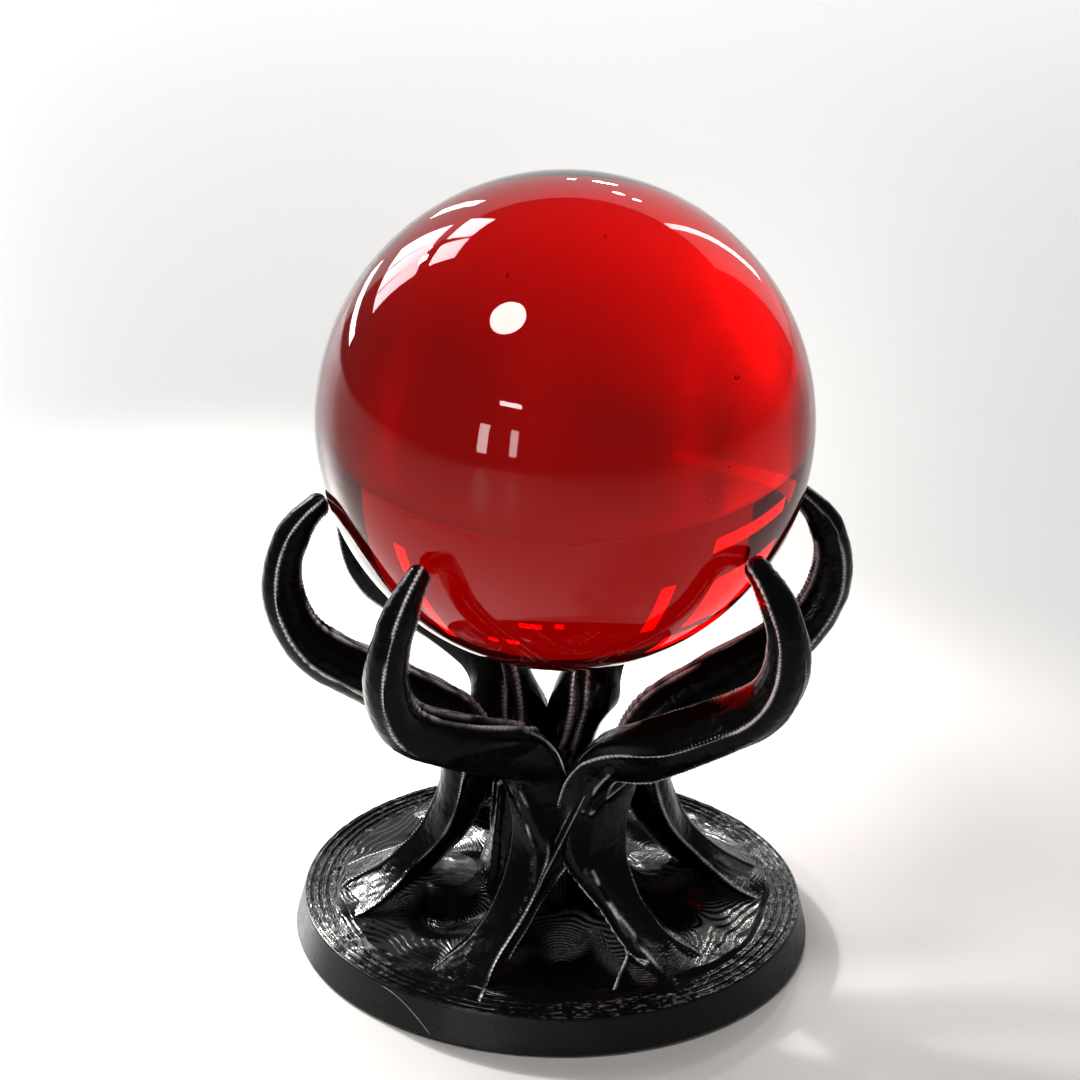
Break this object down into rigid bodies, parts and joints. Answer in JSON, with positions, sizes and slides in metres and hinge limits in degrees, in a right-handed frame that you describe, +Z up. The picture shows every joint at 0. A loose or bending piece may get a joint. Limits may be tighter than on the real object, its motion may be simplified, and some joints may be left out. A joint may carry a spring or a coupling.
{
  "type": "crystal ball",
  "caption": "Clear red glass ball lifted off by hand from a black stand whose root-like limbs cross at a narrow waist and open into claws around the ball.",
  "frame": {"origin": "middle of the base's flat underside, on the table", "axes": "+Z up through the middle of the ball, -Y towards the front, +X to the right"},
  "size_m": [0.121, 0.1094, 0.164],
  "materials": {
    "red_glass": "polished clear red glass",
    "printed_gloss": "glossy black printed plastic with fine level layer lines",
    "printed_satin": "satin black printed plastic with fine level layer lines"
  },
  "bodies": {
    "stand": {"limb_front_right": "printed_gloss", "limb_front_left": "printed_gloss", "limb_left": "printed_gloss", "limb_back_left": "printed_gloss", "limb_back_right": "printed_gloss", "limb_right": "printed_gloss", "trunk_core": "printed_gloss", "root_relief": "printed_gloss", "base_disc": "printed_satin"},
    "ball": {"crystal_ball": "red_glass"}
  },
  "joints": [
    {"name": "ball_lift", "type": "slide", "parent": "stand", "child": "ball", "axis": [0, 0, 1], "range_m": [0, 0.06]}
  ]
}
